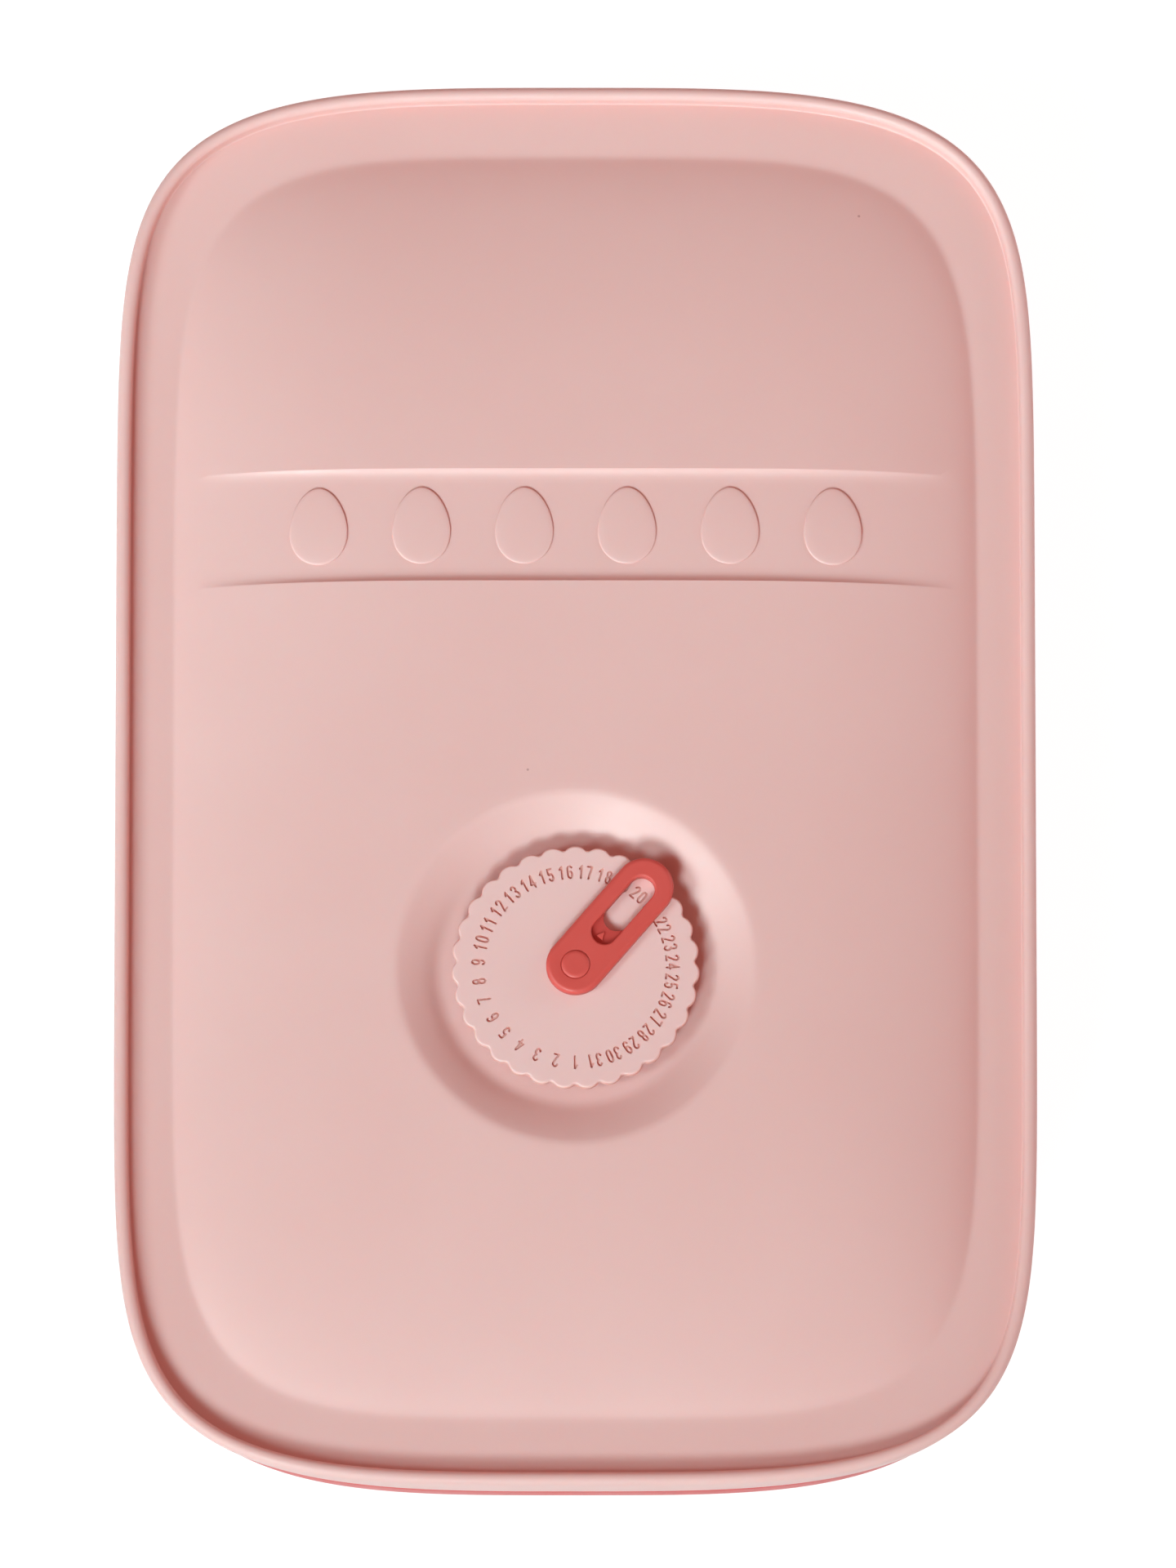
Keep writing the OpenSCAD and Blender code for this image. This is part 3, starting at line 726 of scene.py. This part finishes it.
def dial_mesh():
    """The date dial: a scalloped disc with a soft upper edge and the days' numbers sunk into its face."""
    edge, top = scalloped_edge(), DIAL_Z + DIAL_T
    soft, soft_under, face_inset = 0.6, 0.25, 0.8
    spoke = edge + (0, DIAL_Y)
    reach = np.hypot(*spoke.T)
    spoke = spoke / reach[:, None]

    def at(inset, z):
        return ring((reach - inset)[:, None] * spoke - (0, DIAL_Y), z)

    rings = [at(face_inset, top)] + [at(inset, z) for inset, z in rounding(soft, top - soft, soft, 90, 0)]
    rings += [at(0, DIAL_Z + soft_under), at(soft_under, DIAL_Z)]
    shell = Shell()
    shell.loft(rings)

    def inside(inset):
        def test(x, y):
            angle = np.arctan2(y + DIAL_Y, x) % (2 * math.pi)
            whole_turn = np.linspace(0, 2 * math.pi, len(reach) + 1)
            limit = np.interp(angle, whole_turn, np.append(reach, reach[0])) - inset
            r = np.hypot(x, y + DIAL_Y)
            return (r > PIN_R + TURN_PLAY - 0.005) & (r < limit - 0.004)
        return test

    bore_top, bore_low = circle(PIN_R + TURN_PLAY, top, 64), circle(PIN_R + TURN_PLAY, DIAL_Z, 64)
    shell.loft([bore_top, bore_low])
    flat_face(shell, [rings[-1], bore_low], DIAL_Z, inside(soft_under))
    outlines = [o for day in range(1, DAYS + 1) for o in stroke_outlines(day)]
    xy, triangles, in_number = plan_mesh([rings[0], bore_top], (), None, outlines)
    x, y = xy[triangles].mean(1).T
    keep = inside(face_inset)(x, y)
    label = ["number" if in_number[i] else "face" for i in np.flatnonzero(keep)]
    heights = {"face": top, "number": top - ENGRAVING}
    terraces(shell, xy, triangles[keep], label, lambda k, x, y: np.full(len(x), heights[k]))
    return shell.mesh("date_dial_disc", 38)


finish_piece("date_dial_disc", dial_mesh(), "dial", DIAL_PLASTIC, ["date_dial"])

# Pointer and pin


def long_round(near, far, r, z, via=None):
    """A ring round a bar with round ends along +Y, anticlockwise, with points on its sides at via."""
    beside = [] if via is None else [via]
    half_turn = np.radians(np.linspace(0, 180, 41))
    points = [(r * math.cos(t), far + r * math.sin(t)) for t in half_turn] + [(-r, y) for y in beside]
    points += [(r * math.cos(t), near + r * math.sin(t)) for t in half_turn + math.pi]
    points += [(r, y) for y in beside]
    return ring(np.array(points), z)


def off_bar(x, y, near, far):
    """Distance from the middle line of a bar along +Y."""
    return np.hypot(x, y - np.clip(y, near, far))


def turned(points):
    """From the pointer's own frame, pivot at the origin and tip along +Y, to its place on the dial."""
    c, s = math.cos(math.radians(-POINTER_ANGLE)), math.sin(math.radians(-POINTER_ANGLE))
    x, y, z = np.asarray(points, float).T
    return np.column_stack([x * c - y * s, x * s + y * c - DIAL_Y, z])


def pointer_mesh():
    """The pointer: a round-ended bar with a window, a ledge with an arrow, and a seat for the pin's head."""
    window_r, edge_r = WINDOW_W / 2, POINTER_W / 2
    hole, seat = PIN_R + TURN_PLAY, PIN_HEAD_R + HEAD_PLAY
    ledge_z, seat_z = POINTER_TOP - LEDGE_DEPTH, POINTER_TOP - PIN_SUNK
    soft, window_soft = 1.15, 0.5
    shell = Shell()

    outer = [(soft + 0.2, POINTER_TOP)] + rounding(soft, POINTER_TOP - soft, soft, 90, 0, 9)
    outer += rounding(0.3, POINTER_Z + 0.3, 0.3, 0, -90, 3)
    outer = [long_round(0, POINTER_L, edge_r - inset, z) for inset, z in outer]
    shell.loft(outer)

    window = [(window_soft + 0.15, POINTER_TOP)]
    window += [(window_soft * (1 - math.cos(t)), POINTER_TOP - window_soft * (1 - math.sin(t)))
               for t in np.radians(np.linspace(90, 0, 7))]
    window += [(0, ledge_z)]
    window = [long_round(LEDGE_NEAR, WINDOW_FAR, window_r + out, z, WINDOW_NEAR) for out, z in window]
    shell.loft(window)
    hole_ring = long_round(WINDOW_NEAR, WINDOW_FAR, window_r, ledge_z)
    foot_ring = long_round(WINDOW_NEAR, WINDOW_FAR, window_r, POINTER_Z)
    shell.loft([hole_ring, foot_ring])

    head = [circle(r, z, y=0) for r, z in (
        (seat + 0.25, POINTER_TOP), (seat + 0.12, POINTER_TOP - 0.02), (seat, POINTER_TOP - 0.14),
        (seat, seat_z), (hole, seat_z), (hole, POINTER_Z))]
    shell.loft(head)

    flat_face(shell, [outer[0], window[0], head[0]], POINTER_TOP, lambda x, y: (
        (off_bar(x, y, LEDGE_NEAR, WINDOW_FAR) > window_r + window_soft + 0.148)
        & (np.hypot(x, y) > seat + 0.246) & (off_bar(x, y, 0, POINTER_L) < edge_r - soft - 0.2)))
    flat_face(shell, [outer[-1], foot_ring, head[-1]], POINTER_Z, lambda x, y: (
        (off_bar(x, y, WINDOW_NEAR, WINDOW_FAR) > window_r - 0.002) & (np.hypot(x, y) > hole - 0.002)
        & (off_bar(x, y, 0, POINTER_L) < edge_r - 0.3)))

    middle, half = (LEDGE_NEAR + WINDOW_NEAR - WINDOW_W) / 2, ARROW_L / 2
    corners = np.array([(-half, middle - half), (half, middle - half), (0, middle + half)])
    arrows = [corners.mean(0) + (corners - corners.mean(0)) * size for size in (1, 0.8)]
    xy, triangles, _ = plan_mesh([window[-1], hole_ring, arrows[0], arrows[1]])
    x, y = xy[triangles].mean(1).T
    keep = ((off_bar(x, y, LEDGE_NEAR, WINDOW_FAR) < window_r)
            & (off_bar(x, y, WINDOW_NEAR, WINDOW_FAR) > window_r - 0.002))
    share = arrow_share(xy[:, 0], xy[:, 1], corners)
    z = ledge_z + ARROW_H * np.clip((1 - share) / 0.2, 0, 1)
    shell.add(np.column_stack([xy, z]), triangles[keep].tolist())

    mesh = shell.mesh("date_pointer", 38)
    spots = np.empty(len(mesh.vertices) * 3)
    mesh.vertices.foreach_get("co", spots)
    mesh.vertices.foreach_set("co", (turned(spots.reshape(-1, 3) / MM) * MM).ravel())
    mesh.update()
    return mesh


def arrow_share(x, y, corners):
    """How far a point lies from a triangle's middle, where 1 is the triangle's edge."""
    centre, share = corners.mean(0), np.zeros(len(x))
    for one, other in zip(corners, np.roll(corners, -1, 0)):
        way = (other - one) / np.linalg.norm(other - one)
        out = np.array([way[1], -way[0]])
        reach = np.dot(one - centre, out)
        share = np.maximum(share, ((x - centre[0]) * out[0] + (y - centre[1]) * out[1]) / reach)
    return share


finish_piece("date_pointer", pointer_mesh(), "pointer", POINTER_PLASTIC, ["pointer"])


def pin_mesh():
    """The snap pin: a low button head with a soft edge, a shank and two barbed legs."""
    lid_under = DISH_Z - LID_WALL - FACE_PLAY
    low, high = lid_under - BARB_L, POINTER_TOP + PIN_PROUD
    slit_top = lid_under + LID_WALL
    soft, soft_w, head_r = 0.5, 1.05, PIN_HEAD_R + 0.1
    profile = [(PIN_R, slit_top), (PIN_R, HEAD_Z), (head_r - 0.15, HEAD_Z), (head_r, HEAD_Z + 0.15)]
    profile += [(head_r - soft_w + soft_w * math.cos(t), high - soft + soft * math.sin(t))
                for t in np.radians(np.linspace(0, 90, 9))]
    profile += [(head_r - soft_w - 0.2, high), (head_r * 0.3, high)]
    shell = Shell()
    rings = [circle(r, z) for r, z in profile]
    shell.loft(rings)
    shell.cap(rings[-1])
    heights = [(PIN_R, slit_top), (PIN_R, lid_under), (PIN_R + BARB_OUT, lid_under), (PIN_R, low)]

    def leg(side, r, z):
        """Half of a ring round the shank, less the slit between the legs."""
        start = math.pi / 2 - math.asin(SLIT_W / 2 / r)
        angles = np.linspace(-start, start, LEG_POINTS) + (0 if side > 0 else math.pi)
        return ring(np.column_stack([r * np.cos(angles), r * np.sin(angles) - DIAL_Y]), z)

    for side in (1, -1):
        legs = Shell()
        legs.loft([leg(side, r, z) for r, z in heights])
        legs.cap(leg(side, *heights[-1]))
        shell.add(np.concatenate(legs.vertices), legs.faces)
    between = [leg(side, PIN_R, slit_top) for side in (1, -1)]
    shell.add(np.concatenate(between), [tuple(range(2 * LEG_POINTS))])
    return shell.mesh("dial_pin", 38)


finish_piece("dial_pin", pin_mesh(), "cover", POINTER_PLASTIC, ["pivot_pin"])

# Base and roll tray


def base_inset(z):
    """How far the tub's outer wall lies inside the skirt's outline at a height."""
    return WALL_INSET + (SHELF_Z - z) * math.tan(DRAFT)


def base_mesh():
    """The tub: foot, drafted wall, shelf, collar, lip and floor in one run of rings."""
    low = FOOT_H + FOOT_ROUND
    thick = BASE_WALL / math.cos(DRAFT)
    foot_in = base_inset(low) + FOOT_ROUND
    bend = FOOT_ROUND * 0.69

    def bow(inset, z, steps=6):
        """The easy curve from the foot up into the wall."""
        ends = np.array([(inset, z), (inset - bend, z), (inset - FOOT_ROUND, z + low)])
        t = np.linspace(0, 1, steps + 1)[:, None]
        return [tuple(p) for p in (1 - t) ** 2 * ends[0] + 2 * t * (1 - t) * ends[1] + t * t * ends[2]]

    outside = [(foot_in + FOOT_W + FOOT_H, FOOT_H), (foot_in + FOOT_W, 0)] + bow(foot_in, 0)
    outside += [(base_inset(SHELF_Z - 0.8), SHELF_Z - 0.8), (base_inset(SHELF_Z) - 0.2, SHELF_Z - 0.2),
                (base_inset(SHELF_Z) - 0.8, SHELF_Z)]
    collar = [(BASE_WALL, SHELF_Z), (BASE_WALL, COLLAR_Z + 0.3)]
    collar += rounding(0.5, COLLAR_Z + 0.5, 0.5, -90, 0, 4)
    collar += rounding(0.5, COLLAR_TOP - 0.5, 0.5, 0, 90, 4)
    lip = [(LIP_INSET, COLLAR_TOP)] + rounding(LIP_INSET + 0.6, BASE_H - 0.6, 0.6, 0, 90, 4)
    inside = rounding(LIP_INSET + BASE_WALL - 0.4, BASE_H - 0.4, 0.4, 90, 180, 3)
    inside += [(LIP_INSET + BASE_WALL, COLLAR_TOP), (LIP_INSET + BASE_WALL + 0.4, COLLAR_TOP - 0.9),
               (base_inset(SHELF_Z) + thick, SHELF_Z - 0.6)]
    inside += [(inset + thick, z + FLOOR_Z) for inset, z in reversed(bow(foot_in, 0))]
    rings = [low_rim(inset, z) for inset, z in outside] + [collar_rim(inset, z) for inset, z in collar]
    rings += [low_rim(inset, z) for inset, z in lip + inside]
    shell = Shell()
    shell.loft(rings)
    shell.cap(rings[0])
    shell.cap(rings[-1])
    return shell.mesh("egg_box_base", 40)


def tray_mesh():
    """The lift-out tray: troughs that slope down to the front, dividers between them and ribs below."""
    def tray_inset(z):
        return base_inset(z) + BASE_WALL / math.cos(DRAFT) + TRAY_GAP

    low = FLOOR_Z + FOOT_ROUND
    lane_front = LID_L / 2 - tray_inset(low)
    lane_low = FLOOR_Z + LANE_LIFT + TRAY_WALL

    def lane_line(y):
        """The height of a lane's lowest line, which rises from the front to the back."""
        return lane_low + (y + lane_front) * math.tan(LANE_SLOPE)

    pitch = (LID_W - 2 * tray_inset(lane_line(0) + LANE_SAG) + TRAY_WALL) / LANES
    half = (pitch - TRAY_WALL) / 2

    def lane_z(x, y):
        """The upper surface of the lanes, each a shallow trough."""
        across = ((x + LANES * pitch / 2) % pitch - pitch / 2) / half
        return lane_line(y) + LANE_SAG * np.minimum(np.abs(across), 1) ** 2

    edge_at, out_at = LOW_EDGE[::2], LOW_OUT[::2]
    edge = edge_at - tray_inset(lane_low) * out_at
    for _ in range(4):
        edge = edge_at - tray_inset(lane_z(*edge.T) - TRAY_WALL)[:, None] * out_at
    dots = lattice(LID_W / 2, LID_L / 2, 4.2)
    across = [side * pitch / 2 + share * TRAY_WALL / 2
              for side in (-1, 1) for share in (-1, -0.85, -0.55, 0, 0.55, 0.85, 1)]
    ribs = [y * lane_front / 2 + w * TRAY_WALL / 2 for y in (-1, 0, 1) for w in (-1, 1)]
    lines = [np.array([(x, y) for y in np.linspace(-LID_L / 2, LID_L / 2, 90)]) for x in across]
    lines += [np.array([(x, y) for x in np.linspace(-LID_W / 2, LID_W / 2, 60)]) for y in ribs]
    clear = np.ones(len(dots), bool)
    for x in across:
        clear &= np.abs(dots[:, 0] - x) > 1
    for y in ribs:
        clear &= np.abs(dots[:, 1] - y) > 1
    a, b = np.abs(edge).max(0)
    edge_angle = np.arctan2(edge[:, 1] / b, edge[:, 0] / a)
    order = np.argsort(edge_angle)
    edge_reach = np.hypot(edge[:, 0] / a, edge[:, 1] / b)[order]

    def reach(x, y):
        """A point's distance from the middle as a share of the distance to the tray's edge."""
        limit = np.interp(np.arctan2(y / b, x / a), edge_angle[order], edge_reach, period=2 * math.pi)
        return np.hypot(x / a, y / b) / limit

    xy, triangles, _ = plan_mesh([edge], lines, dots[clear])
    x, y = xy[triangles].mean(1).T
    keep = reach(x, y) < 1 - 1e-5
    label = np.full(len(x), "lane", object)
    for rib in (-1, 0, 1):
        label[np.abs(y - rib * lane_front / 2) < TRAY_WALL / 2] = "rib"
    label[np.abs(np.abs(x) - pitch / 2) < TRAY_WALL / 2] = "divider"

    def top(k, x, y):
        if k == "divider":
            off = np.minimum(np.abs(np.abs(x) - pitch / 2), TRAY_WALL / 2)
            crest = lane_line(y) + LANE_SAG + DIVIDER_H
            return crest - TRAY_WALL / 2 + np.sqrt((TRAY_WALL / 2) ** 2 - off ** 2)
        return lane_z(x, y)

    def bottom(k, x, y):
        """The lanes' underside, or below ribs and dividers the tub's floor and its rounded edge."""
        if k == "lane":
            return lane_z(x, y) - TRAY_WALL
        inward = (1 - reach(x, y)) * np.hypot(x, y)
        return FLOOR_Z + FOOT_ROUND * np.clip(1 - inward / (FOOT_ROUND * 1.2), 0, 1) ** 2

    shell = Shell()
    terraces(shell, xy, triangles[keep], label[keep].tolist(), top, bottom)
    return shell.mesh("egg_roll_tray", 38)


finish_piece("egg_box_base", base_mesh(), "box", BASE_PLASTIC, ["base"])
finish_piece("egg_roll_tray", tray_mesh(), "box", TRAY_PLASTIC, ["roll_tray"])

# Room, light and camera


def mix_shaders(tree, share, one, other, out):
    """Links a mix of two shaders to a socket."""
    mix = add_node(tree, "ShaderNodeMixShader", Fac=share)
    feed(tree, mix.inputs[1], one)
    feed(tree, mix.inputs[2], other)
    feed(tree, out, mix.outputs[0])


def floor_material():
    """A pale floor that looks white straight on and still takes a faint shadow."""
    material = bpy.data.materials.new("pale_floor")
    material.use_nodes = True
    tree = material.node_tree
    tree.nodes.remove(tree.nodes["Principled BSDF"])
    plain = add_node(tree, "ShaderNodeBsdfDiffuse", Color=(0.8, 0.79, 0.78, 1))
    seen = add_node(tree, "ShaderNodeBsdfDiffuse", Color=(0.16, 0.16, 0.16, 1))
    white = add_node(tree, "ShaderNodeEmission", Color=(1, 1, 1, 1), Strength=0.97)
    both = add_node(tree, "ShaderNodeAddShader")
    feed(tree, both.inputs[0], seen.outputs[0])
    feed(tree, both.inputs[1], white.outputs[0])
    path = add_node(tree, "ShaderNodeLightPath").outputs
    straight = maths(tree, "MAXIMUM", path["Is Camera Ray"], path["Is Glossy Ray"])
    straight = maths(tree, "MAXIMUM", straight, path["Is Transmission Ray"])
    surface = tree.nodes["Material Output"].inputs["Surface"]
    mix_shaders(tree, straight, plain.outputs[0], both.outputs[0], surface)
    return material


floor = bpy.data.objects.new("floor", bpy.data.meshes.new("floor"))
floor.data.from_pydata([(-6, -6, 0), (6, -6, 0), (6, 6, 0), (-6, 6, 0)], [], [(0, 1, 2, 3)])
floor.data.materials.append(floor_material())
bpy.context.scene.collection.objects.link(floor)

world = bpy.data.worlds.new("soft_room")
bpy.context.scene.world = world
world.use_nodes = True
room = world.node_tree
red_glow = room.nodes["Background"]
red_glow.inputs["Color"].default_value = (1, 0.363, 0.285, 1)
red_glow.inputs["Strength"].default_value = 0.37
white_wall = add_node(room, "ShaderNodeBackground", Color=(1, 1, 1, 1), Strength=1.0)
seen_straight = add_node(room, "ShaderNodeLightPath").outputs["Is Camera Ray"]
mix_shaders(room, seen_straight, red_glow.outputs[0], white_wall.outputs[0],
            room.nodes["World Output"].inputs["Surface"])


def area_lamp(name, spot, aim, size, power, spread=180, colour=(1, 1, 1)):
    """A square soft lamp that faces the point it is aimed at, with its beam's spread in degrees."""
    lamp = bpy.data.lights.new(name, "AREA")
    lamp.size = size
    lamp.energy = power
    lamp.color = colour
    lamp.spread = math.radians(spread)
    holder = bpy.data.objects.new(name, lamp)
    bpy.context.scene.collection.objects.link(holder)
    holder.location = spot
    holder.rotation_euler = (Vector(aim) - Vector(spot)).to_track_quat("-Z", "Y").to_euler()


area_lamp("left_lamp", (-2.31, -0.93, 2.07), (0, 0.15, 0.06), 1.3, 2.38, 30, (0.8, 1, 1))
area_lamp("front_lamp", (-1.0, -2.24, 2.12), (0, 0.6, 0.06), 1.3, 5.3, 30, (0.8, 1, 1))
area_lamp("low_fill_lamp", (2.94, 1.07, 0.73), (0, 0, 0.06), 2.0, 27)

TILT, DISTANCE, FOCAL_LENGTH = math.radians(12.7), 5.0, 492.2
AIM_X, AIM_Z = 0.0029, 0.0622
camera = bpy.data.objects.new("camera", bpy.data.cameras.new("camera"))
bpy.context.scene.collection.objects.link(camera)
camera.data.sensor_width = 36
camera.data.lens = FOCAL_LENGTH
camera.data.clip_start = 0.1
camera.data.clip_end = 50
camera.location = (AIM_X, -DISTANCE * math.sin(TILT), AIM_Z + DISTANCE * math.cos(TILT))
camera.rotation_euler = (TILT, 0, 0)
bpy.context.scene.camera = camera

bpy.context.scene.view_settings.view_transform = "Standard"
